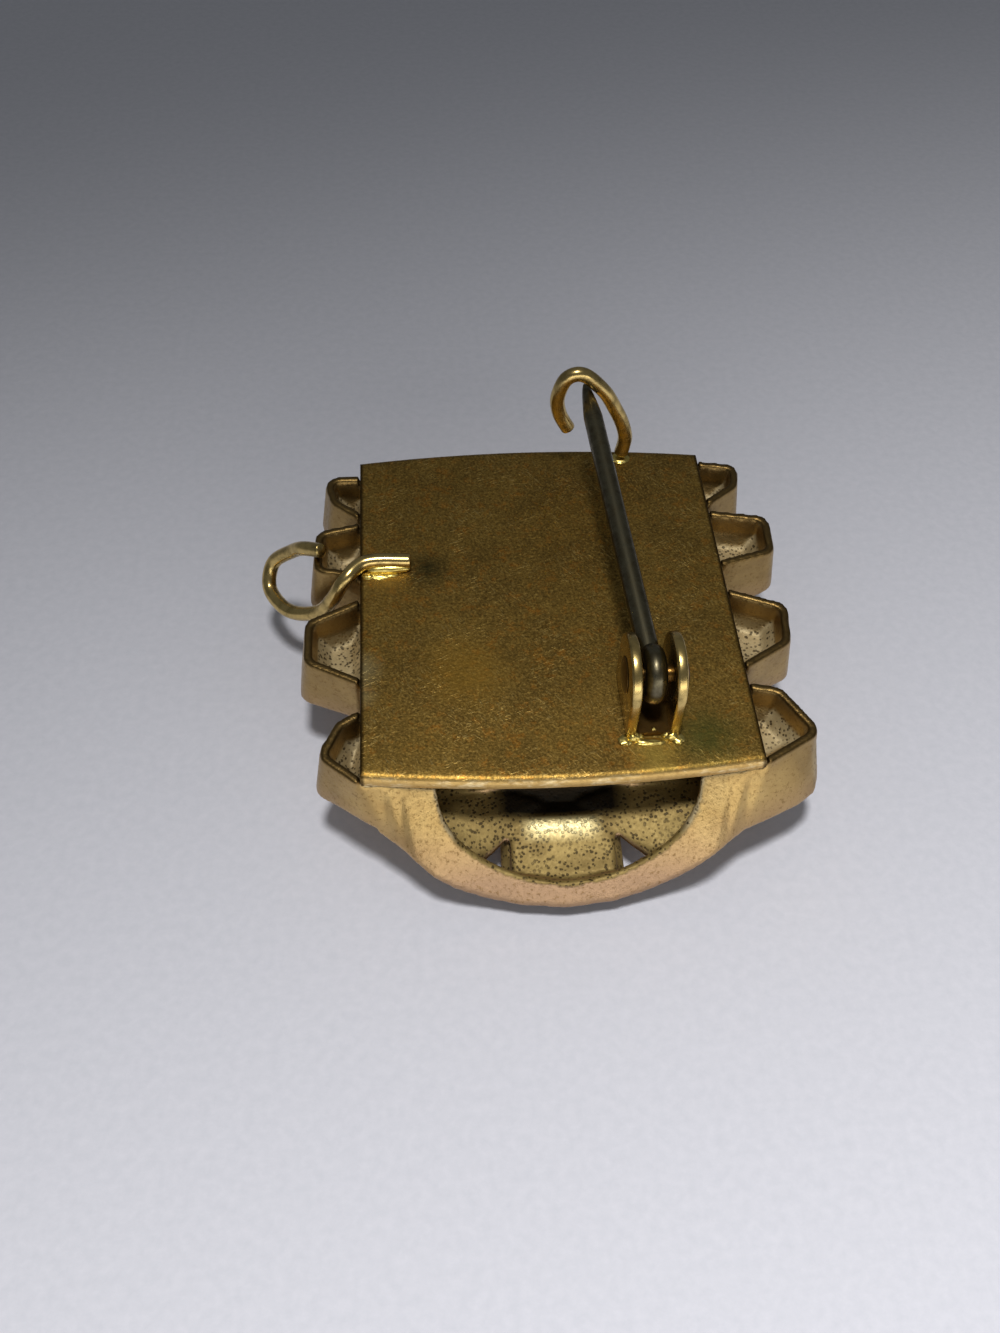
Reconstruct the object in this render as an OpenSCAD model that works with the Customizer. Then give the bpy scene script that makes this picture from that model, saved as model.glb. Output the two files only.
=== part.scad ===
// Chatelaine watch pin lying face down, seen from its back. Millimetres, +Z up.
// The origin is the middle of the flat front land, which rests on the table.
// X runs across the pin, Y along it, away from the viewer.

/* [Back plate] */
// Width of the flat back plate
plate_w = 19.1; // [16:0.1:24]
// Half length of the plate at its corners
plate_half_l = 10.55; // [8:0.05:14]
// How far the middle of each end bows out past the corners
end_bow = 0.6; // [0:0.05:1.5]
// Height of the top face above the table
plate_z = 6.6; // [5:0.1:9]
// Thickness of the sheet
sheet = 0.5; // [0.3:0.05:0.8]

/* [Front shell] */
// Half width of the D-shaped opening in each end
d_half_w = 6.25; // [4:0.05:8]
// Depth of the D-shaped opening down the slope
d_depth = 4.9; // [3:0.1:5.5]
// Thickness of the end walls
end_t = 0.46; // [0.3:0.02:0.6]
// Height of the lobe rims above the table
rim_z = 6.45; // [5:0.05:8]
// Height of the lower edge of the side lobes
base_z = 3.4; // [2:0.1:5]
// Radius of the flat front land
land_r = 5; // [3:0.1:7]
// Thickness of the struck metal
wall = 0.4; // [0.3:0.05:0.8]
// How much wider a lobe is at its lower edge than at its rim
lobe_flare = 0.45; // [0:0.05:1]
// Depth of the dished hollow in a lobe
dish = 1.6; // [0.8:0.1:2.5]
// Corner radius of the lobe tips
lobe_r = 0.75; // [0.4:0.05:1.2]

/* [Watch hook] */
// Wire diameter of the watch hook
hook_d = 0.78; // [0.6:0.02:1.2]

/* [Catch] */
// Wire diameter of the catch
catch_d = 0.8; // [0.6:0.02:1.2]
// Position of the catch along the pin
catch_y = 10.3; // [8:0.1:11]

/* [Joint and pin] */
// Position of the joint across the plate
joint_x = 4.3; // [2:0.1:7]
// Position of the rivet along the plate
rivet_y = -6.95; // [-9:0.05:-5]
// Height of the rivet above the table
rivet_z = 9; // [8:0.1:10]
// Radius of the rounded top of an ear
ear_r = 2; // [1.5:0.1:2.5]
// Thickness of an ear
ear_t = 0.5; // [0.4:0.05:0.8]
// Gap between the two ears
ear_gap = 1.6; // [1.4:0.05:2.2]
// Thickness of the strap between the ears
strap_t = 0.25; // [0.2:0.05:0.6]
// Diameter of the rivet shank
rivet_d = 0.9; // [0.7:0.05:1.2]
// Diameter of the rivet heads
head_d = 1.8; // [1.4:0.1:2.4]
// Radius of the pin knuckle
knuckle_r = 1.45; // [1.2:0.05:1.7]
// Width of the pin knuckle
knuckle_w = 1.15; // [1:0.05:1.5]
// Pin diameter
pin_d = 1; // [0.8:0.02:1.2]
// Length of the pin from the rivet to where its point begins
pin_len = 15.8; // [12:0.1:18]
// Length of the thicker root of the pin, from the rivet
root_len = 3.2; // [2:0.1:5]
// Length of the point
point_len = 2.2; // [1:0.1:4]
// Angle the pin rises towards the catch
pin_rise = 7.15; // [0:0.05:15]
// Angle the pin turns across the plate
pin_turn = 4.57; // [0:0.01:8]

/* [Hidden] */
half_w = plate_w / 2;
gap = 0.05;
// Sides of the round forms: wires, lobe tips, the front land, turned pieces.
ball_sides = 10;
tip_sides = 20;
foot_sides = 24;
land_sides = 40;
turned_sides = 48;
drill_l = 8;
d_middle = 0.2;
d_steps = 24;
plate_steps = 8;
hook_steps = 4;
catch_steps = 3;
solder_gap = 0.03;
seat_z = plate_z + solder_gap;
point_d = 0.3;
stem_lift = 0.15;
slope = 55.4;
root_d = pin_d + 0.14;
under_plate = plate_z - sheet - gap;
bore_d = rivet_d + 0.04;
knuckle_bore_d = rivet_d + 0.1;
// The near end wall, from the left lobe tip to the right one:
// top across, top out, low across, low out, low height.
// Under the plate the top follows the plate's edge, so its out is not used there.
near_wall = [[-11.2, 8.45, -11.52, 8.42, 3.6], [-11, 8.95, -11.28, 9.14, 3.6], [-10.35, 9.6, -10.66, 9.95, 3.6],
             [-9.6, 10.35, -9.36, 10.95, 3.62], [-8.4, 0, -8.4, 11.5, 3.6], [-7.6, 0, -7.7, 12.2, 3.4],
             [-7, 0, -7.05, 12.85, 3.05], [-6.2, 0, -6.2, 13.45, 2.5], [-5.2, 0, -5.2, 13.75, 1.85],
             [-3.8, 0, -3.8, 14, 1.3], [-2.2, 0, -2.2, 14.35, 1.1], [0, 0, 0, 14.6, 1.05],
             [2.2, 0, 2.2, 14.4, 1.1], [3.8, 0, 3.8, 14.05, 1.3], [5.2, 0, 5.2, 13.75, 1.85],
             [6.2, 0, 6.2, 13.5, 2.45], [7, 0, 7, 13.2, 2.95], [7.8, 0, 7.8, 12.65, 3.15],
             [8.7, 0, 8.7, 12, 3.15], [9.7, 10.2, 10.2, 11.35, 3.1], [11, 9.6, 11.7, 10.65, 3.05],
             [11.9, 9, 12.5, 10.05, 3], [12.2, 8.45, 12.8, 9.3, 3]];
far_wall = [for (i = [4 : 18]) near_wall[i]];
// The petals, across, out and height: the middle one's half width from its outer end inward,
// the side ones' inner and outer edges from the middle outward, and the flanges of the middle one.
middle_petal = [[2.35, 14.3, 1.05], [2.4, 12.9, 1.75], [2.4, 11.6, 2.25], [1.45, 10.6, 2.45], [2.6, 9.7, 2.3],
                [3.4, 8.9, 3]];
side_petal_in = [[1.1, 9.9, 2.6], [3.4, 9.3, 2.95], [6, 9.1, 3.15], [8.8, 9.1, 3.25]];
side_petal_out = [[4.9, 13.35, 1.8], [5.8, 13.3, 2.3], [7, 12.75, 3], [8.7, 11.5, 3.5]];
flange_in = [[2.6, 11, 1.9], [2.92, 11.1, 1.3]];
flange_out = [[2.6, 14.1, 0.95], [3, 14, 0.55]];
petal_t = 0.4;
flange_t = 0.25;
slice_h = 0.1;
box_w = 9.3;
box_l = 9.4;
lobe_start = 8;
lobe_root = 9.8;
// Each lobe runs down to a small round foot beside the land, nearer the middle than its tip.
foot_x = 2.6;
foot_share = 0.35;
foot_r = 1.5;
land_wall = 0.3;
// The dish draws in by this much at this share of its depth, and by this much at its floor.
dish_mid = 0.6;
dish_mid_in = 0.2;
dish_floor_in = 0.75;
dish_start = 8.85;
// Each lobe: far side, near side, reach and place of its far tip corner, of its near one.
right_lobes = [[9.95, 6.6, 11.75, 9.0, 11.6, 8.3], [6.05, 2.05, 12.75, 4.9, 12.7, 3.4],
               [0.3, -4.8, 12.5, -1.3, 12.3, -2.9], [-5.85, -10.5, 11.4, -6.8, 12.4, -8.6]];
left_lobes = [[9.5, 6.4, 11.45, 8.8, 11.2, 7.9], [5.9, 2.05, 11.95, 4.8, 12, 3.1],
              [0.42, -4.9, 12.35, -1.3, 12.35, -3.1], [-6.6, -10.65, 10.9, -7.7, 11.45, -8.9]];
hook_path = [[-7, 2.5, seat_z + hook_d / 2], [-9.2, 2.5, seat_z + hook_d / 2], [-10.3, 1.6, 6.75], [-11, 1.25, 5.7],
             [-11.8, 1.5, 4.4], [-13, 2.1, 3.55], [-13.95, 2.85, 3.3], [-14.7, 4.2, 3.4],
             [-14.4, 5.1, 4.4], [-13.2, 4.7, 5.7], [-12.5, 4.1, 6.5], [-11.6, 3.4, 7.05]];
catch_path = [[5.2, seat_z + catch_d / 2], [5.3, 8.1], [5, 9.2], [4.5, 10.25], [3.8, 11.45],
              [2.65, 12.55], [1.75, 12.35], [1.33, 11.1], [1.5, 9.95], [2, 8.95]];
// Rivet: what each head stands out, how much narrower its face is, and its shank's reach into the heads.
left_head = 0.12;
right_head = 0.4;
head_face = 0.6;
head_gap = 0.01;
shank_reach = 0.1;

function fold_y(x) = plate_half_l + end_bow * (1 - pow(x / half_w, 2));
function mix(a, b, t) = a + (b - a) * t;

// Smooth curve through points p, at step i of n between each pair.
function curve_pt(p, k, t) =
    let (a = p[max(k - 1, 0)], b = p[k], c = p[k + 1], d = p[min(k + 2, len(p) - 1)])
    0.5 * (2 * b + t * (c - a) + t * t * (2 * a - 5 * b + 4 * c - d) + t * t * t * (3 * b - a - 3 * c + d));
function curve(p, n) =
    concat([for (k = [0 : len(p) - 2]) for (i = [0 : n - 1]) curve_pt(p, k, i / n)], [p[len(p) - 1]]);

module ball(p, d) translate(p) sphere(d = d, $fn = ball_sides);

module wire(p, d) {
    for (i = [0 : len(p) - 2])
        hull() {
            ball(p[i], d);
            ball(p[i + 1], d);
        }
}

// A strip of sheet between two rows of points.
module strip(a, b, d) {
    for (i = [0 : len(a) - 2])
        hull() {
            ball(a[i], d);
            ball(a[i + 1], d);
            ball(b[i], d);
            ball(b[i + 1], d);
        }
}

module patch(a, b, n, d)
    for (j = [0 : n - 1])
        strip([for (i = [0 : len(a) - 1]) mix(a[i], b[i], j / n)],
              [for (i = [0 : len(a) - 1]) mix(a[i], b[i], (j + 1) / n)], d);

function wall_top(r) =
    abs(r[0]) > half_w ? [r[0], -r[1], rim_z - end_t / 2]
                       : [r[0], end_t / 2 - fold_y(r[0]), under_plate - end_t / 2];

// An end wall with its D-shaped opening, open upward to the plate's underside.
module end_wall(rows)
    difference() {
        strip([for (r = rows) wall_top(r)], [for (r = rows) [r[2], -r[3], r[4]]], end_t);
        translate([d_middle, -plate_half_l - end_bow, under_plate])
            rotate([180 + slope, 0, 0])
                linear_extrude(drill_l / 2, center = true)
                    polygon(concat([[d_half_w, -2 * sheet], [d_half_w, 0]],
                                   [for (i = [1 : d_steps - 1])
                                       [d_half_w * cos(i * 180 / d_steps), d_depth * sin(i * 180 / d_steps)]],
                                   [[-d_half_w, 0], [-d_half_w, -2 * sheet]]));
    }

plate_side = [for (i = [-plate_steps : plate_steps])
                 let (x = i * half_w / plate_steps) [x, -fold_y(x)]];

module back_plate()
    color([0.42, 0.33, 0.16])
        translate([0, 0, plate_z - sheet])
            linear_extrude(sheet)
                polygon(concat(plate_side, [for (i = [2 * plate_steps : -1 : 0]) [plate_side[i][0], -plate_side[i][1]]]));

// Outline of one lobe at one level, from start outward, drawn smaller by inset and wider by flare.
module lobe_slice(q, start, inset, flare, z)
    translate([0, 0, z - slice_h])
        linear_extrude(slice_h)
            offset(delta = -inset)
                hull() {
                    translate([start, q[1]]) square([lobe_root - start, q[0] - q[1]]);
                    translate([q[2] + flare - lobe_r, q[3]]) circle(r = lobe_r, $fn = tip_sides);
                    translate([q[4] + flare - lobe_r, q[5]]) circle(r = lobe_r, $fn = tip_sides);
                }

module lobe_foot(r, y, z) translate([foot_x, y * foot_share, z]) cylinder(h = slice_h, r = r, $fn = foot_sides);

module lobe_outer(q)
    hull() {
        lobe_slice(q, lobe_start, 0, 0, rim_z);
        lobe_slice(q, lobe_start, 0, lobe_flare, base_z);
        lobe_foot(foot_r, q[5], 0);
    }

// The dished hollow seen from the back, and the hollow under it, open to the inside of the front.
module lobe_inner(q) {
    hull() {
        lobe_slice(q, dish_start, wall, 0, rim_z + slice_h);
        lobe_slice(q, dish_start, wall + dish_mid_in, 0, rim_z - dish * dish_mid);
        lobe_slice(q, dish_start, wall + dish_floor_in, 0, rim_z - dish);
    }
    hull() {
        lobe_slice(q, lobe_start - 1, wall, lobe_flare / 2, rim_z - dish - wall);
        lobe_slice(q, lobe_start - 1, wall, lobe_flare, base_z + wall);
        lobe_foot(foot_r - land_wall, q[5], wall + slice_h);
    }
}

module lobe_hollows() {
    for (q = right_lobes) lobe_inner(q);
    mirror([1, 0, 0]) for (q = left_lobes) lobe_inner(q);
}

module body_slice(dx, dy, z, h) translate([-dx, -dy, z]) cube([2 * dx, 2 * dy, h]);

// Rows of across, out and height as points at the near end, on side s.
function placed(rows, s) = [for (r = rows) [s * r[0], -r[1], r[2]]];

// One end of the front: three petals with open wedges between them, inside the end wall.
module end_petals() {
    for (s = [-1, 1]) {
        patch(placed(side_petal_in, s), placed(side_petal_out, s), 2, petal_t);
        patch(placed(flange_in, s), placed(flange_out, s), 1, flange_t);
    }
    for (i = [0 : len(middle_petal) - 2])
        let (a = middle_petal[i], b = middle_petal[i + 1])
            strip([[-a[0], -a[1], a[2]], [a[0], -a[1], a[2]]], [[-b[0], -b[1], b[2]], [b[0], -b[1], b[2]]], petal_t);
}

module body_box(r, w, l, low)
    hull() {
        translate([0, 0, low]) cylinder(h = slice_h, r = r, $fn = land_sides);
        body_slice(w, l, base_z + low, slice_h);
        body_slice(w, l, under_plate - slice_h + low, slice_h);
    }

module front_shell()
    color([0.62, 0.48, 0.28])
        difference() {
            union() {
                difference() {
                    union() {
                        body_box(land_r, box_w, box_l, 0);
                        for (q = right_lobes) lobe_outer(q);
                        mirror([1, 0, 0]) for (q = left_lobes) lobe_outer(q);
                    }
                    body_box(land_r - land_wall, box_w - wall, box_l - wall, wall);
                    body_slice(box_w - wall, plate_half_l + 2, base_z, plate_z);
                    lobe_hollows();
                }
                difference() {
                    union() {
                        end_wall(near_wall);
                        mirror([0, 1, 0]) end_wall(far_wall);
                    }
                    lobe_hollows();
                }
                end_petals();
                mirror([0, 1, 0]) end_petals();
            }
            body_slice(half_w + gap, plate_half_l + 2 * sheet, under_plate, plate_z);
        }

module watch_hook() color([0.80, 0.68, 0.36]) wire(curve(hook_path, hook_steps), hook_d);

module c_catch()
    color([0.78, 0.66, 0.36])
        wire([for (q = curve(catch_path, catch_steps)) [q[0], catch_y, q[1]]], catch_d);

module ear_profile() {
    circle(r = ear_r, $fn = turned_sides);
    translate([-ear_r, seat_z - rivet_z]) square([2 * ear_r, rivet_z - seat_z]);
}

module pin_joint()
    color([0.80, 0.68, 0.36])
        translate([joint_x, rivet_y, rivet_z])
            difference() {
                union() {
                    for (s = [-1, 1])
                        translate([s * (ear_gap + ear_t) / 2 - ear_t / 2, 0, 0])
                            rotate([90, 0, 90])
                                linear_extrude(ear_t) ear_profile();
                    translate([-ear_gap / 2, -ear_r, seat_z - rivet_z])
                        cube([ear_gap, 2 * ear_r, strap_t]);
                }
                rotate([0, 90, 0]) cylinder(h = drill_l, d = bore_d, center = true, $fn = turned_sides);
            }

module joint_rivet()
    color([0.55, 0.42, 0.24])
        translate([joint_x, rivet_y, rivet_z])
            rotate([0, 90, 0]) {
                cylinder(h = ear_gap + 2 * ear_t + 2 * shank_reach, d = rivet_d, center = true, $fn = turned_sides);
                for (side = [[0, right_head], [1, left_head]])
                    mirror([0, 0, side[0]])
                        translate([0, 0, ear_gap / 2 + ear_t + head_gap])
                            cylinder(h = side[1], d1 = head_d, d2 = head_d * head_face, $fn = turned_sides);
            }

module pin_stem()
    color([0.30, 0.29, 0.26])
        translate([joint_x, rivet_y, rivet_z])
            difference() {
                union() {
                    rotate([0, 90, 0]) cylinder(h = knuckle_w, r = knuckle_r, center = true, $fn = turned_sides);
                    translate([0, 0, stem_lift])
                        rotate([pin_rise - 90, 0, pin_turn]) {
                            cylinder(h = root_len, d1 = root_d, d2 = pin_d, $fn = turned_sides);
                            translate([0, 0, root_len])
                                cylinder(h = pin_len - root_len, d = pin_d, $fn = turned_sides);
                            translate([0, 0, pin_len])
                                cylinder(h = point_len, d1 = pin_d, d2 = point_d, $fn = turned_sides);
                        }
                }
                rotate([0, 90, 0]) cylinder(h = drill_l, d = knuckle_bore_d, center = true, $fn = turned_sides);
            }

front_shell();
back_plate();
watch_hook();
c_catch();
pin_joint();
joint_rivet();
pin_stem();
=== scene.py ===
"""The chatelaine watch pin's looks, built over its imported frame. Metres, the frame's own axes."""

import math

import bmesh
import bpy
from mathutils import Euler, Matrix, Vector, noise


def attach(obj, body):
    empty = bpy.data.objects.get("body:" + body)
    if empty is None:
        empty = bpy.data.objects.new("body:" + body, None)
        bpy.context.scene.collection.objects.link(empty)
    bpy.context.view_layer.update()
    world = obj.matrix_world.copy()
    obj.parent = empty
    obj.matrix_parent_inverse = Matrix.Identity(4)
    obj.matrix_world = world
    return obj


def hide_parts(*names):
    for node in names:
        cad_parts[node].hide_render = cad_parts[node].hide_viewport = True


MM = 0.001


def mm(*sizes):
    """Sizes in millimetres, as metres."""
    return tuple(size * MM for size in sizes)


# Sizes of the real pin, in millimetres, as in the part's source.
PLATE_W = 19.1
PLATE_HALF_L = 10.55
END_BOW = 0.6
PLATE_Z = 6.6
SHEET = 0.5
SOLDER_GAP = 0.03
SEAT_Z = PLATE_Z + SOLDER_GAP
HOOK_D = 0.78
CATCH_D = 0.8
CATCH_Y = 10.3
JOINT_X = 4.3
RIVET_Y = -6.95
RIVET_Z = 9.0
EAR_R = 2.0
EAR_T = 0.5
EAR_GAP = 1.6
STRAP_T = 0.25
RIVET_D = 0.9
HEAD_D = 1.8
LEFT_HEAD = 0.12
RIGHT_HEAD = 0.4
KNUCKLE_R = 1.45
PIN_D = 1.0
PIN_LEN = 15.8
POINT_LEN = 2.2
POINT_D = 0.3
STEM_LIFT = 0.15
PIN_RISE = 7.15
PIN_TURN = 4.57
HOOK_PATH = [(-7, 2.5, SEAT_Z + HOOK_D / 2), (-9.2, 2.5, SEAT_Z + HOOK_D / 2), (-10.3, 1.6, 6.75),
             (-11, 1.25, 5.7), (-11.8, 1.5, 4.4), (-13, 2.1, 3.55), (-13.95, 2.85, 3.3),
             (-14.7, 4.2, 3.4), (-14.4, 5.1, 4.4), (-13.2, 4.7, 5.7), (-12.5, 4.1, 6.5), (-11.6, 3.4, 7.05)]
CATCH_PATH = [(5.2, SEAT_Z + CATCH_D / 2), (5.3, 8.1), (5, 9.2), (4.5, 10.25), (3.8, 11.45),
              (2.65, 12.55), (1.75, 12.35), (1.33, 11.1), (1.5, 9.95), (2, 8.95)]

# Finer sizes, in millimetres, that the looks alone need.
ROLL_R = 0.42
SIDE_R = 0.1
PLATE_WAVE = 0.02
PLATE_SKIRT = 0.04
EAR_SOFT = 0.13
STRAP_BACK = 0.1
HEAD_GAP = 0.01
ROOT_SWELL = 0.04
SHELL_VOXEL = 0.14
SHELL_WELD = 0.001
MESH_WELD = 0.0005

# How finely round forms are drawn.
WIRE_SIDES = 20
CURVE_STEPS = 12
TURNED_SIDES = 48
PIN_SIDES = 24
PIN_STEPS = 48
RING_STEPS = 64
ROLL_STEPS = 7

# A wire's rounded end: share of its radius, share of the end's reach.
CAP_ROWS = [(0.98, 0.45), (0.85, 0.75), (0.55, 0.95)]
CAP_REACH = 0.35

# Patches on the plate, as place across and along, radius, strength and tone: the burnt
# flux by the hook and the joint, the solder's yellow run, and a rubbed patch at the left.
PLATE_PATCHES = [((-6.0, 2.3), 1.1, 0.75, "#262C1C"), ((-8.2, 1.5), 0.5, 0.6, "#C09A48"),
                 ((6.9, -9.0), 1.7, 0.7, "#565C2C"), ((4.3, -9.9), 1.0, 0.7, "#C2A650"),
                 ((-9.6, -4.2), 0.9, 0.7, "#B5A577"), ((-9.6, -5.8), 0.6, 0.6, "#B5A577"),
                 ((-4.5, -4.6), 2.2, 0.4, "#B58A34")]
PATCH_BLUR = 0.9

# Where the finish, or the painted light and shade, changes: from where a zone begins to where it is full.
SHEET_FLAT = mm(PLATE_Z - 0.14, PLATE_Z - 0.04)
SHEET_SIDE = mm(PLATE_W / 2 - 0.22, PLATE_W / 2 - 0.1)
RIM_ZONE = mm(6.25, 6.38)
BELOW_RIM = mm(6.35, 6.1)
PETAL_ZONE = mm(4.2, 3.7)
LOW_ZONE = mm(4.6, 2.0)
END_LIGHT_ZONE = mm(9.9, 11.2)
CAVITY_SHADE_OUT = mm(10.75, 10.4)
CAVITY_SHADE_ACROSS = mm(3.6, 2.6)
HIGHLIGHT_NEAR = mm(10.6, 10.85)
HIGHLIGHT_FAR = mm(12.0, 11.2)
HIGHLIGHT_ACROSS = mm(2.1, 1.3)
HOLLOW_REACH = 1.2

# Runs of solder, as middle, half sizes and lumpiness.
HOOK_SOLDER = [((-8.05, 2.2, PLATE_Z + 0.16), (1.15, 0.24, 0.24), 0.06),
               ((-8.5, 1.95, PLATE_Z), (0.8, 0.3, 0.09), 0.3),
               ((-9.1, 1.95, PLATE_Z - 0.02), (0.35, 0.3, 0.14), 0.2)]
CATCH_SOLDER = [((CATCH_PATH[0][0], CATCH_Y - 0.1, PLATE_Z), (0.5, 0.48, 0.12), 0.2)]
FOOT_X = EAR_GAP / 2
FOOT_Y = RIVET_Y - EAR_R
JOINT_SOLDER_LUMPS = 0.25
# Solder at the joint, as place from the joint's middle and from its near edge, and half sizes.
JOINT_SOLDER = [(-FOOT_X - 0.1, 0.05, (0.34, 0.3, 0.3)), (FOOT_X + 0.1, 0.05, (0.34, 0.3, 0.3)),
                (-FOOT_X + 0.1, 0.1, (0.28, 0.26, 0.2)), (FOOT_X - 0.1, 0.1, (0.28, 0.26, 0.2)),
                (-FOOT_X - 0.55, -0.1, (0.34, 0.3, 0.12)), (FOOT_X + 0.4, -0.15, (0.3, 0.28, 0.12)),
                (0.05, 0.3, (0.16, 0.14, 0.34)), (-0.15, -0.25, (0.7, 0.22, 0.07))]

# A hammered rivet head from its ear outward: share of its height, share of its radius.
HEAD_ROWS = [(0, RIVET_D / HEAD_D), (0, 0.94), (0.12, 1), (0.35, 0.98), (0.62, 0.84),
             (0.85, 0.6), (0.97, 0.3), (1, 0.05)]

# The photograph's viewpoint: focal length and frame height in pixels, place, and turn in radians.
FOCAL_PX = 1250
FRAME_PX = 1333
SENSOR_MM = 36
CAMERA_PLACE = (-6.44, -41.74, 55.6)
CAMERA_TURN = (0.65387, -0.025428, -0.067521)

# A lamp above the camera and a pale panel before the pin, in millimetres, watts and degrees.
KEY_PLACE = (-14, -34, 300)
KEY_AIM = (110, -400, 0)
KEY_WATTS = 7.7
KEY_SPREAD = 143
KEY_R = 26
PANEL_PLACE = (50, -300, 90)
PANEL_AIM = (0, 0, 10)
PANEL_WATTS = 0.32
PANEL_SIZE = (460, 120)
ROOM_GLOW = 0.12
FLOOR_HALF = 1500

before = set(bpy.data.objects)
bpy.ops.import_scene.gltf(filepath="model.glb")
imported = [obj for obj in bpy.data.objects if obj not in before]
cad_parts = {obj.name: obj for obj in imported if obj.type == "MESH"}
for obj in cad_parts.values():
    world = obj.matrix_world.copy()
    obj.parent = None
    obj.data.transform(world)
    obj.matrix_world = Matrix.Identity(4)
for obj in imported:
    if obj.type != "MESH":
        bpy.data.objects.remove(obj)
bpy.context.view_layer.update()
BODY = "pin_body"


def per_mm(size):
    """Texture scale whose features are about this many millimetres across."""
    return 1.0 / (size * MM)


def colour(code):
    """sRGB hex to linear RGBA."""
    parts = [int(code[i:i + 2], 16) / 255 for i in (1, 3, 5)]
    return tuple(c / 12.92 if c <= 0.04045 else ((c + 0.055) / 1.055) ** 2.4 for c in parts) + (1.0,)


def add(tree, kind, *inputs, output=None, **settings):
    """Adds a node with its settings, and gives the output of this name, or else the first.

    Its inputs come in order: a socket links, a hex code is a colour, None leaves one as it is."""
    node = tree.nodes.new("ShaderNode" + kind)
    for name, value in settings.items():
        setattr(node, name, value)
    for socket, value in zip([socket for socket in node.inputs if socket.enabled], inputs):
        if isinstance(value, bpy.types.NodeSocket):
            tree.links.new(value, socket)
        elif value is not None:
            socket.default_value = colour(value) if isinstance(value, str) else value
    return node.outputs[output] if output else next(socket for socket in node.outputs if socket.enabled)


def new_material(name, metallic, roughness):
    """A named material, with its tree, its shader and the object's own coordinates."""
    material = bpy.data.materials.new(name)
    material.use_nodes = True
    tree = material.node_tree
    shader = tree.nodes["Principled BSDF"]
    shader.inputs["Metallic"].default_value = metallic
    shader.inputs["Roughness"].default_value = roughness
    place = add(tree, "TexCoord", output="Object")
    return material, tree, shader, place


def product(tree, *factors):
    """Several masks as one: all of them multiplied, each a number or a socket."""
    made = factors[0]
    for factor in factors[1:]:
        made = add(tree, "Math", made, factor, operation="MULTIPLY")
    return made


def scratches(tree, place, turn, share):
    """Short lines lying one way, in patches: finer in the real sheet, and drawn as wide as shows."""
    laid = add(tree, "Mapping", place, (0, 0, 0), (0, 0, turn), (5.0, 1.0, 1.0), vector_type="TEXTURE")
    lines = add(tree, "MapRange", add(tree, "TexNoise", laid, per_mm(0.09), 2.0, 0.5), 0.61, 0.69)
    swung = add(tree, "Mapping", place, (0, 0, 0), (0, 0, turn * 3), vector_type="TEXTURE")
    patches = add(tree, "TexNoise", swung, per_mm(2.2), 2.0, 0.5)
    return product(tree, lines, add(tree, "MapRange", patches, 0.55 - share, 0.75 - share))


def spot_of(tree, place, rough_edge, centre, radius, strength):
    """A soft-edged round patch on the plate, about a point in millimetres."""
    away = add(tree, "VectorMath", place, mm(*centre, PLATE_Z), operation="DISTANCE")
    edge = add(tree, "Math", away, product(tree, rough_edge, PATCH_BLUR * MM), operation="ADD")
    return add(tree, "MapRange", edge, (radius + PATCH_BLUR) * MM, 0.5 * radius * MM, 0.0, strength)


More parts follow.
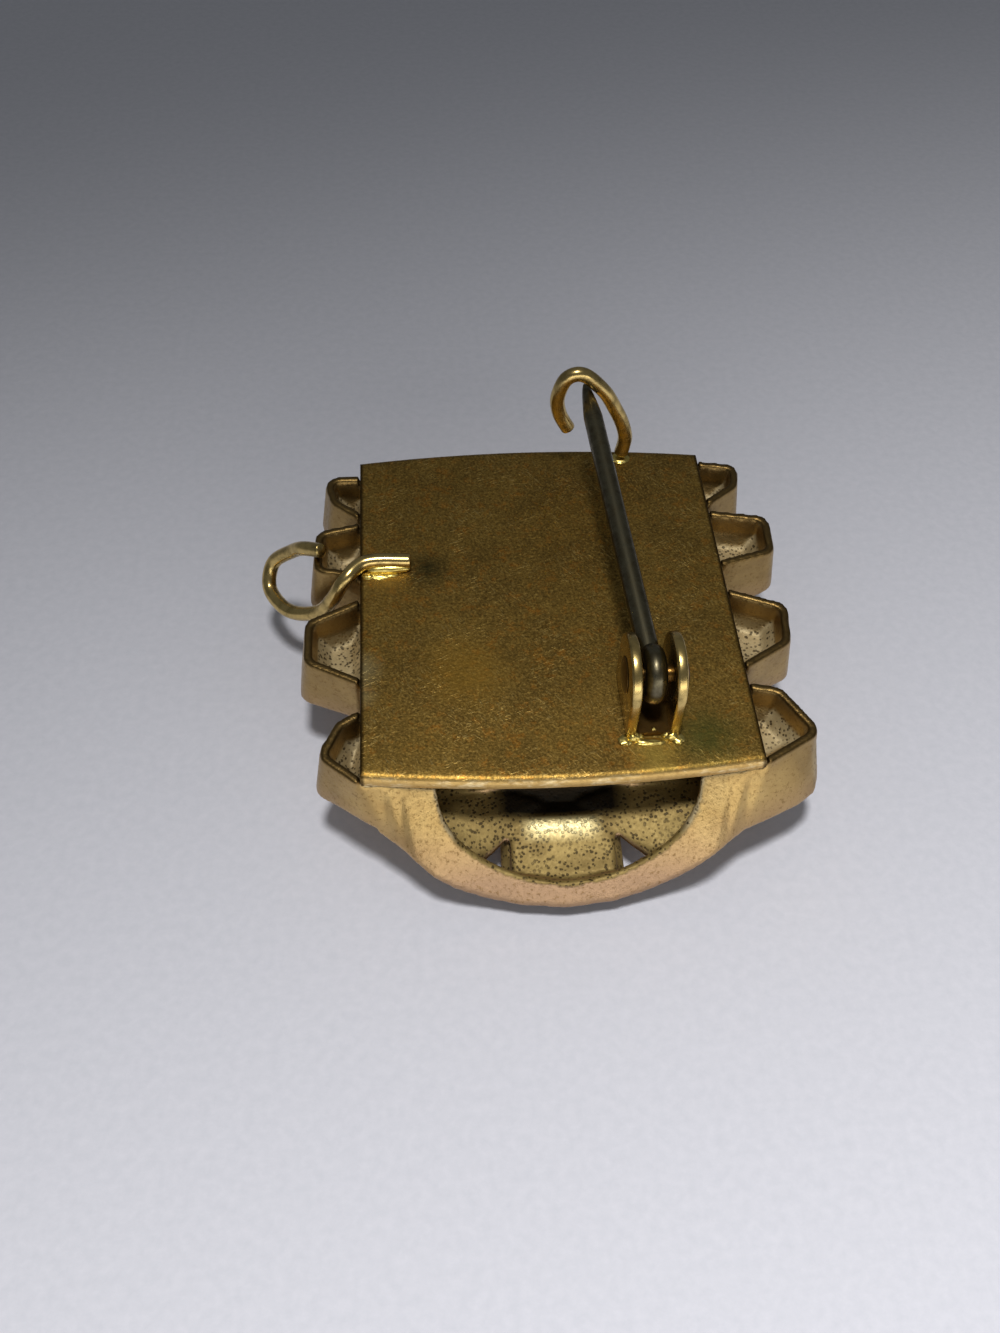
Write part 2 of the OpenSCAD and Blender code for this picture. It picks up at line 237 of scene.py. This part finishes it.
def plate_material():
    """Rolled sheet brass browned by age: dull olive brown on the flat, burnished pale on its rolled edges
    with a painted highlight in pale streaks, and painted shade along its long sides.
    """
    material, tree, shader, place = new_material("browned_sheet_brass", 1.0, 0.45)
    height = add(tree, "SeparateXYZ", place, output="Z")
    across = add(tree, "Math", add(tree, "SeparateXYZ", place, output="X"), operation="ABSOLUTE")
    mottle = add(tree, "TexNoise", place, per_mm(2.6), 3.0, 0.6)
    specks = add(tree, "TexNoise", place, per_mm(0.3), 4.0, 0.7)
    dust = add(tree, "TexNoise", place, per_mm(0.13), 3.0, 0.8)
    orange = add(tree, "TexNoise", place, per_mm(0.7), 5.0, 0.8)
    orange = add(tree, "MapRange", orange, 0.53, 0.66, 0.0, 0.75)
    flat = add(tree, "Mix", add(tree, "MapRange", mottle, 0.35, 0.65), "#836833", "#98793A",
               data_type="RGBA")
    flat = add(tree, "Mix", orange, flat, "#B67A2C", data_type="RGBA")
    flat = add(tree, "Mix", add(tree, "MapRange", specks, 0.5, 0.64, 0.0, 0.7), flat, "#6A5426",
               data_type="RGBA")
    flat = add(tree, "Mix", add(tree, "MapRange", dust, 0.5, 0.66, 0.0, 0.7), flat, "#4C3B1A",
               data_type="RGBA")
    flat = add(tree, "Mix", add(tree, "MapRange", dust, 0.46, 0.34, 0.0, 0.6), flat, "#CBA657",
               data_type="RGBA")
    fine = add(tree, "Math", scratches(tree, place, 0.4, 0.1), scratches(tree, place, -0.9, 0.1),
               operation="MAXIMUM")
    fine = add(tree, "Math", fine, scratches(tree, place, 1.9, 0.06), operation="MAXIMUM")
    flat = add(tree, "Mix", product(tree, fine, 0.65), flat, "#DDBB70", data_type="RGBA")
    for centre, radius, strength, tone in PLATE_PATCHES:
        flat = add(tree, "Mix", spot_of(tree, place, specks, centre, radius, strength), flat, tone,
                   data_type="RGBA")
    # The rolled ends, where the sheet has dropped below its flat, are burnished pale, and their pale streaks
    # also paint the highlight that the rounded edge catches.
    long_way = add(tree, "Mapping", place, (0, 0, 0), (0, 0, 0), (3.0, 1.0, 1.0), vector_type="TEXTURE")
    streaks = add(tree, "TexNoise", long_way, per_mm(0.4), 3.0, 0.7)
    burnish_and_highlight = add(tree, "Mix", add(tree, "MapRange", streaks, 0.5, 0.68), "#D0AD6C", "#F2DCAA",
                 data_type="RGBA")
    burnish_and_highlight = add(tree, "Mix", add(tree, "MapRange", specks, 0.52, 0.7, 0.0, 0.6), burnish_and_highlight, "#A8834A",
                 data_type="RGBA")
    sheet = add(tree, "Mix", add(tree, "MapRange", height, *SHEET_FLAT), burnish_and_highlight, flat, data_type="RGBA")
    # Painted shade darkens the sheet's long sides.
    painted_side_shade = add(tree, "MapRange", across, *SHEET_SIDE)
    tree.links.new(add(tree, "Mix", product(tree, painted_side_shade, 0.85), sheet, "#3A2A12", data_type="RGBA"),
                   shader.inputs["Base Color"])
    rough = add(tree, "Math", add(tree, "MapRange", specks, 0.3, 0.7, 0.36, 0.52),
                product(tree, fine, -0.12), operation="ADD")
    tree.links.new(rough, shader.inputs["Roughness"])
    rise = add(tree, "Math", add(tree, "Math", specks, dust, operation="ADD"), product(tree, fine, 0.5),
               operation="ADD")
    tree.links.new(add(tree, "Bump", 0.4, 0.03 * MM, None, rise), shader.inputs["Normal"])
    return material


def shell_material():
    """Struck brass: yellow on the end walls and painted brighter there, pinkish low down, dull and pitted in
    its hollows, with grime and painted shade in its corners, painted shade behind the middle petal and a
    painted highlight on its ridge.
    """
    material, tree, shader, place = new_material("struck_shell_brass", 1.0, 0.4)
    height = add(tree, "SeparateXYZ", place, output="Z")
    across = add(tree, "Math", add(tree, "SeparateXYZ", place, output="X"), operation="ABSOLUTE")
    out = add(tree, "Math", add(tree, "SeparateXYZ", place, output="Y"), operation="ABSOLUTE")
    facing = add(tree, "TexCoord", output="Normal")
    facing_up = add(tree, "SeparateXYZ", facing, output="Z")
    facing_out = add(tree, "Math", add(tree, "SeparateXYZ", facing, output="Y"), operation="ABSOLUTE")
    mottle = add(tree, "TexNoise", place, per_mm(1.4), 4.0, 0.6)
    specks = add(tree, "TexNoise", place, per_mm(0.2), 3.0, 0.75)
    # The hollows are what faces up below the rims, apart from the sloping end walls.
    upward = add(tree, "MapRange", facing_up, 0.18, 0.45)
    not_end_wall = add(tree, "MapRange", facing_out, 0.75, 0.55)
    recess = product(tree, upward, not_end_wall, add(tree, "MapRange", height, *BELOW_RIM))
    petal = add(tree, "MapRange", height, *PETAL_ZONE)
    # Outer walls: brown on the lobes, yellow at the ends and painted brighter there for the light they catch
    # facing the front, pinkish low down, with brown specks.
    lobe_wall = add(tree, "Mix", add(tree, "MapRange", mottle, 0.3, 0.7), "#B49760", "#9C8152",
                    data_type="RGBA")
    end_wall_painted_light = add(tree, "Mix", add(tree, "MapRange", mottle, 0.3, 0.7), "#D6B677", "#BF9D63",
                   data_type="RGBA")
    clean = add(tree, "Mix", add(tree, "MapRange", out, *END_LIGHT_ZONE), lobe_wall, end_wall_painted_light, data_type="RGBA")
    clean = add(tree, "Mix", add(tree, "MapRange", height, *LOW_ZONE), clean, "#B29272", data_type="RGBA")
    clean = add(tree, "Mix", add(tree, "MapRange", specks, 0.55, 0.68, 0.0, 0.65), clean, "#86683A",
                data_type="RGBA")
    # Hollows: dull, with dark pits of uneven size.
    dots = add(tree, "TexVoronoi", place, per_mm(0.2))
    ragged = product(tree, add(tree, "TexNoise", place, per_mm(0.25), 3.0, 0.8), 0.9)
    uneven = add(tree, "Math", dots, ragged, operation="ADD")
    pits = product(tree, add(tree, "MapRange", uneven, 0.86, 0.7),
                   add(tree, "MapRange", mottle, 0.36, 0.5, 0.4, 1.0))
    lobe_floor = add(tree, "Mix", add(tree, "MapRange", mottle, 0.3, 0.7), "#D6C398", "#AE9A70",
                     data_type="RGBA")
    petal_face = add(tree, "Mix", add(tree, "MapRange", mottle, 0.35, 0.65), "#AC945A", "#8A7442",
                     data_type="RGBA")
    dull = add(tree, "Mix", petal, lobe_floor, petal_face, data_type="RGBA")
    dull = add(tree, "Mix", product(tree, pits, 0.85), dull, "#33260F", data_type="RGBA")
    worn = add(tree, "Mix", recess, clean, dull, data_type="RGBA")
    # Grime and painted shade in the corners, painted shade filling the dark cavity behind the middle petal,
    # and a painted highlight on a ridge along its inner edge.
    grime_and_shade = add(tree, "AmbientOcclusion", None, HOLLOW_REACH * MM, output="AO", samples=8)
    worn = add(tree, "Mix", add(tree, "MapRange", grime_and_shade, 0.3, 0.8, 0.6, 0.0), worn, "#3E2F18",
               data_type="RGBA")
    # Near-black painted shade in the cavity behind the middle petal.
    painted_cavity_shade = product(tree, add(tree, "MapRange", out, *CAVITY_SHADE_OUT),
                   add(tree, "MapRange", across, *CAVITY_SHADE_ACROSS), petal)
    worn = add(tree, "Mix", product(tree, painted_cavity_shade, 0.96), worn, "#120D06", data_type="RGBA")
    # A painted highlight along the middle petal's inner ridge, which is also made smoother there.
    painted_ridge_highlight = product(tree, add(tree, "MapRange", out, *HIGHLIGHT_NEAR), add(tree, "MapRange", out, *HIGHLIGHT_FAR),
                    petal, add(tree, "MapRange", across, *HIGHLIGHT_ACROSS))
    worn = add(tree, "Mix", product(tree, painted_ridge_highlight, 0.55), worn, "#FFF0B4", data_type="RGBA")
    rim = product(tree, add(tree, "MapRange", height, *RIM_ZONE), 0.75)
    tree.links.new(add(tree, "Mix", rim, worn, "#54401F", data_type="RGBA"), shader.inputs["Base Color"])
    tree.links.new(add(tree, "MapRange", recess, 0.0, 1.0, 1.0, 0.6), shader.inputs["Metallic"])
    rough = add(tree, "Math", add(tree, "MapRange", specks, 0.3, 0.7, 0.3, 0.46),
                product(tree, recess, 0.22), operation="ADD")
    rough = add(tree, "Math", rough, product(tree, painted_ridge_highlight, 0.25), operation="SUBTRACT")
    tree.links.new(rough, shader.inputs["Roughness"])
    rise = add(tree, "Math", specks, product(tree, pits, recess), operation="SUBTRACT")
    tree.links.new(add(tree, "Bump", 0.4, 0.05 * MM, None, rise), shader.inputs["Normal"])
    return material


def wire_material():
    """Drawn gold-filled wire, polished, with dull olive tarnish where fingers never rub."""
    material, tree, shader, place = new_material("drawn_gold_wire", 1.0, 0.2)
    mottle = add(tree, "TexNoise", place, per_mm(0.7), 4.0, 0.6)
    gold = add(tree, "Mix", add(tree, "MapRange", mottle, 0.42, 0.7), "#D9BC78", "#8C7A4C",
               data_type="RGBA")
    tree.links.new(gold, shader.inputs["Base Color"])
    tree.links.new(add(tree, "MapRange", mottle, 0.3, 0.8, 0.18, 0.36), shader.inputs["Roughness"])
    tooth = add(tree, "TexNoise", place, per_mm(0.15), 3.0, 0.7)
    tree.links.new(add(tree, "Bump", 0.2, 0.02 * MM, None, tooth), shader.inputs["Normal"])
    return material


def solder_material():
    """Yellow gold solder, run and cooled: bright, lumpy and smooth."""
    material, tree, shader, place = new_material("yellow_solder", 1.0, 0.3)
    lumps = add(tree, "TexNoise", place, per_mm(0.3), 3.0, 0.5)
    tree.links.new(add(tree, "Mix", lumps, "#F2E08C", "#C8A950", data_type="RGBA"),
                   shader.inputs["Base Color"])
    tree.links.new(add(tree, "Bump", 0.3, 0.05 * MM, None, lumps), shader.inputs["Normal"])
    return material


def rivet_material():
    """Hammered brass, darkened: the rivet, and the strap under the pin's knuckle, whose dark tone also paints
    the shade that the knuckle casts there.
    """
    material, tree, shader, place = new_material("dark_rivet_brass_and_strap_shade", 1.0, 0.35)
    mottle = add(tree, "TexNoise", place, per_mm(0.4), 4.0, 0.6)
    tree.links.new(add(tree, "Mix", mottle, "#8A6A3A", "#4E3A1C", data_type="RGBA"),
                   shader.inputs["Base Color"])
    tree.links.new(add(tree, "Bump", 0.3, 0.03 * MM, None, mottle), shader.inputs["Normal"])
    return material


def steel_material():
    """Drawn steel pin wire, grey-brown with age, with a dull shine along it."""
    material, tree, shader, place = new_material("aged_pin_steel", 1.0, 0.3)
    mottle = add(tree, "TexNoise", place, per_mm(0.5), 5.0, 0.7)
    drawn = add(tree, "Mapping", place, (0, 0, 0), (0, 0, 0), (1.0, 30.0, 1.0), vector_type="TEXTURE")
    along = add(tree, "TexNoise", drawn, per_mm(0.1), 2.0, 0.6)
    steel = add(tree, "Mix", add(tree, "MapRange", mottle, 0.35, 0.7), "#77705A", "#4A4230",
                data_type="RGBA")
    tree.links.new(steel, shader.inputs["Base Color"])
    tree.links.new(add(tree, "MapRange", mottle, 0.3, 0.7, 0.24, 0.42), shader.inputs["Roughness"])
    tree.links.new(add(tree, "Bump", 0.25, 0.02 * MM, None, along), shader.inputs["Normal"])
    return material


def floor_material():
    """Matt pale card with a fine tooth."""
    material, tree, shader, place = new_material("pale_card", 0.0, 0.85)
    tooth = add(tree, "TexNoise", place, per_mm(0.5), 4.0, 0.6)
    card = add(tree, "Mix", add(tree, "MapRange", tooth, 0.3, 0.7), "#D3D4DD", "#DBDBE4", data_type="RGBA")
    tree.links.new(card, shader.inputs["Base Color"])
    tree.links.new(add(tree, "Bump", 0.3, 0.05 * MM, None, tooth), shader.inputs["Normal"])
    return material


def piece(name, points, faces, material, body=BODY, replaces=(), smooth_angle=40.0):
    """Makes a mesh object from points in millimetres, and gives it its material and body."""
    mesh = bpy.data.meshes.new(name)
    mesh.from_pydata([Vector(p) * MM for p in points], [], faces)
    obj = bpy.data.objects.new(name, mesh)
    bpy.context.scene.collection.objects.link(obj)
    finish_mesh(obj, smooth_angle)
    settle(obj, material, body, replaces)
    return obj


def finish_mesh(obj, smooth_angle):
    """Joins points that meet, turns the faces outward, and shades smooth up to an angle."""
    made = bmesh.new()
    made.from_mesh(obj.data)
    bmesh.ops.remove_doubles(made, verts=made.verts, dist=MESH_WELD * MM)
    bmesh.ops.recalc_face_normals(made, faces=made.faces)
    made.to_mesh(obj.data)
    made.free()
    obj.data.shade_smooth()
    obj.data.set_sharp_from_angle(angle=math.radians(smooth_angle))


def settle(obj, material, body, replaces):
    """Gives a piece its material, tells the frame its body, and hides the nodes it replaces."""
    obj.data.materials.clear()
    obj.data.materials.append(material)
    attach(obj, body)
    if replaces:
        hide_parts(*replaces)


def apply_modifiers(obj):
    """Turns the modified shape into the object's own mesh."""
    bpy.context.view_layer.update()
    evaluated = obj.evaluated_get(bpy.context.evaluated_depsgraph_get())
    mesh = bpy.data.meshes.new_from_object(evaluated)
    obj.modifiers.clear()
    obj.data = mesh


def smooth_curve(points, steps):
    """Points along a smooth curve through the given ones."""
    made = []
    last = len(points) - 1
    for k in range(last):
        a, b = Vector(points[max(k - 1, 0)]), Vector(points[k])
        c, d = Vector(points[k + 1]), Vector(points[min(k + 2, last)])
        for i in range(steps):
            t = i / steps
            made.append(0.5 * (2 * b + t * (c - a) + t * t * (2 * a - 5 * b + 4 * c - d)
                               + t * t * t * (3 * b - a - 3 * c + d)))
    made.append(Vector(points[-1]))
    return made


def tube(path, radii, sides):
    """Points and faces of a round bar along a path, with a radius at each point and rounded ends."""
    points, faces = [], []
    tangent = (path[1] - path[0]).normalized()
    side = tangent.orthogonal().normalized()
    rings = []
    for i, centre in enumerate(path):
        ahead = path[min(i + 1, len(path) - 1)] - path[max(i - 1, 0)]
        turned = ahead.normalized()
        side = (side - turned * side.dot(turned)).normalized()
        up = turned.cross(side)
        rings.append((centre, side, up, turned, radii[i]))
    middle, side, up, ahead, radius = rings[0]
    before = [(middle - ahead * radius * CAP_REACH * out, side, up, ahead, radius * wide)
              for wide, out in reversed(CAP_ROWS)]
    middle, side, up, ahead, radius = rings[-1]
    after = [(middle + ahead * radius * CAP_REACH * out, side, up, ahead, radius * wide)
             for wide, out in CAP_ROWS]
    rings = before + rings + after
    for centre, side, up, _, radius in rings:
        for j in range(sides):
            turn = 2 * math.pi * j / sides
            points.append(centre + side * radius * math.cos(turn) + up * radius * math.sin(turn))
    for i in range(len(rings) - 1):
        for j in range(sides):
            k = (j + 1) % sides
            faces.append((i * sides + j, i * sides + k, (i + 1) * sides + k, (i + 1) * sides + j))
    for start, centre in ((0, rings[0][0]), ((len(rings) - 1) * sides, rings[-1][0])):
        points.append(centre)
        middle = len(points) - 1
        faces.extend((start + j, start + (j + 1) % sides, middle) for j in range(sides))
    return points, faces


def blob(centre, radii, lumps, seed):
    """A run of solder: a squashed ball with a lumpy surface, as points and faces."""
    made = bmesh.new()
    bmesh.ops.create_icosphere(made, subdivisions=4, radius=1.0)
    shift = Vector((seed * 3.1, seed * 1.7, seed * 2.3))
    points = []
    for vert in made.verts:
        swell = 1 + lumps * noise.noise(vert.co * 1.6 + shift)
        swell += 0.4 * lumps * noise.noise(vert.co * 4 + shift)
        points.append(Vector(centre) + Vector([vert.co[k] * radii[k] * swell for k in range(3)]))
    faces = [tuple(v.index for v in face.verts) for face in made.faces]
    made.free()
    return points, faces


def joined(parts):
    """Several lots of points and faces as one."""
    points, faces = [], []
    for part_points, part_faces in parts:
        start = len(points)
        points.extend(part_points)
        faces.extend(tuple(i + start for i in face) for face in part_faces)
    return points, faces


def fold_y(x):
    """How far along the plate its bowed end lies, at a place across."""
    return PLATE_HALF_L + END_BOW * (1 - (x / (PLATE_W / 2)) ** 2)


def edge_steps(reach, radius, count):
    """Distances in from an edge, close together where the edge is rounded."""
    turned = [radius * (1 - math.cos(math.pi / 2 * k / ROLL_STEPS)) for k in range(ROLL_STEPS + 1)]
    rest = [radius + (reach - radius) * k / count for k in range(1, count + 1)]
    return turned + rest


def edge_drop(inward, radius):
    """How far a rounded edge has dropped below the flat, this far in from it."""
    return 0.0 if inward >= radius else radius - math.sqrt(radius ** 2 - (radius - inward) ** 2)


def build_plate(material):
    """The flat back sheet: its bowed ends rolled over, burnished and carrying a painted highlight, its long
    sides only broken.
    """
    half = PLATE_W / 2
    across = edge_steps(half, SIDE_R, 24)
    along = edge_steps(1.0, ROLL_R / fold_y(0), 40)
    xs = [-half + d for d in across] + [half - d for d in reversed(across[:-1])]
    vs = [-1 + d for d in along] + [1 - d for d in reversed(along[:-1])]
    points, faces = [], []
    for v in vs:
        for x in xs:
            y = v * fold_y(x)
            end_in = fold_y(x) * (1 - abs(v))
            side_in = half - abs(x)
            drop = max(edge_drop(end_in, ROLL_R), edge_drop(side_in, SIDE_R))
            wave = PLATE_WAVE * min(1.0, end_in, side_in) * noise.noise(Vector((x * 0.25, y * 0.25, 3.0)))
            points.append(Vector((x, y, PLATE_Z - drop + wave)))
    columns, rows = len(xs), len(vs)
    for k in range(rows - 1):
        for i in range(columns - 1):
            a = k * columns + i
            faces.append((a, a + 1, a + columns + 1, a + columns))
    rim = list(range(columns))
    rim += [k * columns + columns - 1 for k in range(1, rows)]
    rim += [(rows - 1) * columns + i for i in range(columns - 2, -1, -1)]
    rim += [k * columns for k in range(rows - 2, 0, -1)]
    start = len(points)
    points += [Vector((points[i].x, points[i].y, PLATE_Z - SHEET - PLATE_SKIRT)) for i in rim]
    count = len(rim)
    faces += [(rim[i], start + i, start + (i + 1) % count, rim[(i + 1) % count]) for i in range(count)]
    faces.append(tuple(start + i for i in reversed(range(count))))
    piece("plate_sheet", points, faces, material, replaces=["back_plate"], smooth_angle=45)


def build_shell(material):
    """The struck front: the frame's own shell, its edges softened as a die and long wear leave them."""
    obj = bpy.data.objects.new("struck_shell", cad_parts["front_shell"].data.copy())
    bpy.context.scene.collection.objects.link(obj)
    made = bmesh.new()
    made.from_mesh(obj.data)
    bmesh.ops.remove_doubles(made, verts=made.verts, dist=SHELL_WELD * MM)
    made.to_mesh(obj.data)
    made.free()
    fine = obj.modifiers.new("fine", "REMESH")
    fine.mode = "VOXEL"
    fine.voxel_size = SHELL_VOXEL * MM
    soft = obj.modifiers.new("soft", "SMOOTH")
    soft.factor = 0.5
    soft.iterations = 4
    fewer = obj.modifiers.new("fewer", "DECIMATE")
    fewer.ratio = 0.55
    apply_modifiers(obj)
    obj.data.shade_smooth()
    settle(obj, material, BODY, ["front_shell"])


def solder_runs(name, runs, first_seed, material):
    """All the solder at one finding as one piece."""
    parts = [blob(centre, radii, lumps, first_seed + k) for k, (centre, radii, lumps) in enumerate(runs)]
    points, faces = joined(parts)
    piece(name, points, faces, material, smooth_angle=80)


def build_hook(wire, solder):
    """The watch hook's bent wire, and the solder that holds it on the plate."""
    path = smooth_curve(HOOK_PATH, CURVE_STEPS)
    points, faces = tube(path, [HOOK_D / 2] * len(path), WIRE_SIDES)
    piece("hook_wire", points, faces, wire, replaces=["watch_hook"], smooth_angle=60)
    solder_runs("hook_solder", HOOK_SOLDER, 1, solder)


def build_catch(wire, solder):
    """The catch's crook of wire, and the solder at its foot."""
    path = smooth_curve([(x, CATCH_Y, z) for x, z in CATCH_PATH], CURVE_STEPS)
    points, faces = tube(path, [CATCH_D / 2] * len(path), WIRE_SIDES)
    piece("catch_wire", points, faces, wire, replaces=["c_catch"], smooth_angle=60)
    solder_runs("catch_solder", CATCH_SOLDER, 3, solder)


def ear_outline():
    """The round-topped ear, in the Y-Z plane, about the rivet."""
    low = SEAT_Z - RIVET_Z
    arc = [(EAR_R * math.cos(math.radians(a)), EAR_R * math.sin(math.radians(a))) for a in range(0, 181, 6)]
    return [(EAR_R, low)] + arc + [(-EAR_R, low)]


def ear(side, outline):
    """One ear of the joint, on side -1 or 1."""
    count = len(outline)
    sides = (side * EAR_GAP / 2, side * (EAR_GAP / 2 + EAR_T))
    points = [Vector((JOINT_X + x, RIVET_Y + y, RIVET_Z + z)) for x in sides for y, z in outline]
    faces = [tuple(range(count)), tuple(range(2 * count - 1, count - 1, -1))]
    faces += [(i, (i + 1) % count, count + (i + 1) % count, count + i) for i in range(count)]
    return points, faces


def build_joint(wire, solder, dark):
    """The joint: two ears with softened edges, the strap between them in dark brass that also paints the
    knuckle's shade, and its solder.
    """
    xs = (JOINT_X - EAR_GAP / 2, JOINT_X + EAR_GAP / 2)
    ys = (RIVET_Y - EAR_R + STRAP_BACK, RIVET_Y + EAR_R - STRAP_BACK)
    points = [Vector((x, y, z)) for x in xs for y in ys for z in (SEAT_Z, SEAT_Z + STRAP_T)]
    faces = [(0, 1, 3, 2), (4, 6, 7, 5), (0, 4, 5, 1), (2, 3, 7, 6), (0, 2, 6, 4), (1, 5, 7, 3)]
    # The strap's dark brass stands in for the shade under the pin's knuckle.
    piece("joint_strap", points, faces, dark, smooth_angle=30)
    points, faces = joined([ear(side, ear_outline()) for side in (-1, 1)])
    obj = piece("joint_bracket", points, faces, wire, replaces=["pin_joint"])
    soft = obj.modifiers.new("soft", "BEVEL")
    soft.width = EAR_SOFT * MM
    soft.segments = 3
    soft.angle_limit = math.radians(40)
    apply_modifiers(obj)
    obj.data.shade_smooth()
    obj.data.set_sharp_from_angle(angle=math.radians(50))
    runs = [((JOINT_X + dx, FOOT_Y + dy, PLATE_Z + 0.04), radii, JOINT_SOLDER_LUMPS)
            for dx, dy, radii in JOINT_SOLDER]
    solder_runs("joint_solder", runs, 11, solder)


def lathe(profile, sides, centre):
    """A turned piece about a line along X, from (along, radius) pairs, closed at both ends."""
    points, faces = [], []
    for along, radius in profile:
        for j in range(sides):
            turn = 2 * math.pi * j / sides
            spoke = Vector((along, radius * math.cos(turn), radius * math.sin(turn)))
            points.append(Vector(centre) + spoke)
    for i in range(len(profile) - 1):
        for j in range(sides):
            k = (j + 1) % sides
            faces.append((i * sides + j, i * sides + k, (i + 1) * sides + k, (i + 1) * sides + j))
    faces.append(tuple(range(sides)))
    faces.append(tuple(reversed(range((len(profile) - 1) * sides, len(profile) * sides))))
    return points, faces


def rivet_head(side, height):
    """Half the rivet's profile, from the shank out: a hammered head standing this far off its ear."""
    shoulder = EAR_GAP / 2 + EAR_T + HEAD_GAP
    return [(side * (shoulder + height * out), HEAD_D / 2 * wide) for out, wide in HEAD_ROWS]


def build_rivet(material):
    """The rivet: nearly flush at the left, with a raised head at the right."""
    profile = list(reversed(rivet_head(-1, LEFT_HEAD))) + rivet_head(1, RIGHT_HEAD)
    points, faces = lathe(profile, TURNED_SIDES, (JOINT_X, RIVET_Y, RIVET_Z))
    piece("rivet_heads", points, faces, material, replaces=["joint_rivet"], smooth_angle=40)


def pin_stem():
    """The pin's wire from the rivet to its point, as points and faces."""
    turn = Euler((math.radians(PIN_RISE - 90), 0, math.radians(PIN_TURN)), "XYZ").to_matrix()
    start = Vector((JOINT_X, RIVET_Y, RIVET_Z + STEM_LIFT))
    ahead = turn @ Vector((0, 0, 1))
    path, radii = [], []
    total = PIN_LEN + POINT_LEN
    for i in range(PIN_STEPS + 1):
        s = total * i / PIN_STEPS
        taper = max(0.0, s - PIN_LEN) / POINT_LEN
        swollen = PIN_D / 2 + ROOT_SWELL * (1 - s / total)
        path.append(start + ahead * s)
        radii.append(swollen * (1 - taper) ** 0.75 + POINT_D / 2 * taper)
    return tube(path, radii, PIN_SIDES)


def pin_knuckle():
    """The ring that the pin's wire makes round the rivet, as points and faces."""
    wire_r = PIN_D / 2 + ROOT_SWELL
    ring_r = KNUCKLE_R - wire_r
    sides = PIN_SIDES
    points, faces = [], []
    for i in range(RING_STEPS):
        turned = 2 * math.pi * i / RING_STEPS
        for j in range(sides):
            bend = 2 * math.pi * j / sides
            out = ring_r + wire_r * math.cos(bend)
            points.append(Vector((JOINT_X + wire_r * math.sin(bend), RIVET_Y + out * math.cos(turned),
                                  RIVET_Z + out * math.sin(turned))))
            here = i * sides
            there = (i + 1) % RING_STEPS * sides
            faces.append((here + j, there + j, there + (j + 1) % sides, here + (j + 1) % sides))
    return points, faces


def build_pin(material):
    """The steel pin: a rounded knuckle and a tapering stem."""
    points, faces = joined([pin_stem(), pin_knuckle()])
    piece("pin_wire", points, faces, material, body="stem", replaces=["pin_stem"],
          smooth_angle=50)


def build_floor(material):
    """The pale card that the pin lies on."""
    size = FLOOR_HALF * MM
    corners = [(-size, -size, 0), (size, -size, 0), (size, size, 0), (-size, size, 0)]
    mesh = bpy.data.meshes.new("floor")
    mesh.from_pydata(corners, [], [(0, 1, 2, 3)])
    obj = bpy.data.objects.new("floor", mesh)
    bpy.context.scene.collection.objects.link(obj)
    mesh.materials.append(material)


def build_camera():
    """The photograph's viewpoint, found from the plate's corners and its vanishing lines."""
    data = bpy.data.cameras.new("camera")
    data.sensor_width = SENSOR_MM
    data.lens = SENSOR_MM * FOCAL_PX / FRAME_PX
    data.clip_start = MM
    obj = bpy.data.objects.new("camera", data)
    obj.location = Vector(CAMERA_PLACE) * MM
    obj.rotation_euler = CAMERA_TURN
    bpy.context.scene.collection.objects.link(obj)
    bpy.context.scene.camera = obj


def add_light(name, kind, place, aim, watts, **settings):
    """A light at a place, turned to what it lights, both in millimetres."""
    data = bpy.data.lights.new(name, kind)
    data.energy = watts
    for key, value in settings.items():
        setattr(data, key, value)
    obj = bpy.data.objects.new(name, data)
    obj.location = Vector(place) * MM
    obj.rotation_euler = (Vector(aim) - Vector(place)).to_track_quat("-Z", "Y").to_euler()
    bpy.context.scene.collection.objects.link(obj)


def build_lights():
    """Plain soft studio light, with a faint even glow from the room."""
    add_light("key", "SPOT", KEY_PLACE, KEY_AIM, KEY_WATTS, spot_size=math.radians(KEY_SPREAD),
              spot_blend=1.0, shadow_soft_size=KEY_R * MM, color=(1.0, 0.99, 0.97))
    add_light("front_panel", "AREA", PANEL_PLACE, PANEL_AIM, PANEL_WATTS, shape="RECTANGLE",
              size=PANEL_SIZE[0] * MM, size_y=PANEL_SIZE[1] * MM, color=(1.0, 0.98, 0.95))
    world = bpy.data.worlds.new("studio")
    bpy.context.scene.world = world
    world.use_nodes = True
    background = world.node_tree.nodes["Background"]
    background.inputs["Color"].default_value = (0.9, 0.95, 1.0, 1.0)
    background.inputs["Strength"].default_value = ROOM_GLOW
    bpy.context.scene.view_settings.view_transform = "Standard"


build_camera()
build_lights()
build_floor(floor_material())
wire = wire_material()
solder = solder_material()
build_plate(plate_material())
build_shell(shell_material())
build_hook(wire, solder)
build_catch(wire, solder)
dark_brass_and_shade = rivet_material()
build_joint(wire, solder, dark_brass_and_shade)
build_rivet(dark_brass_and_shade)
build_pin(steel_material())
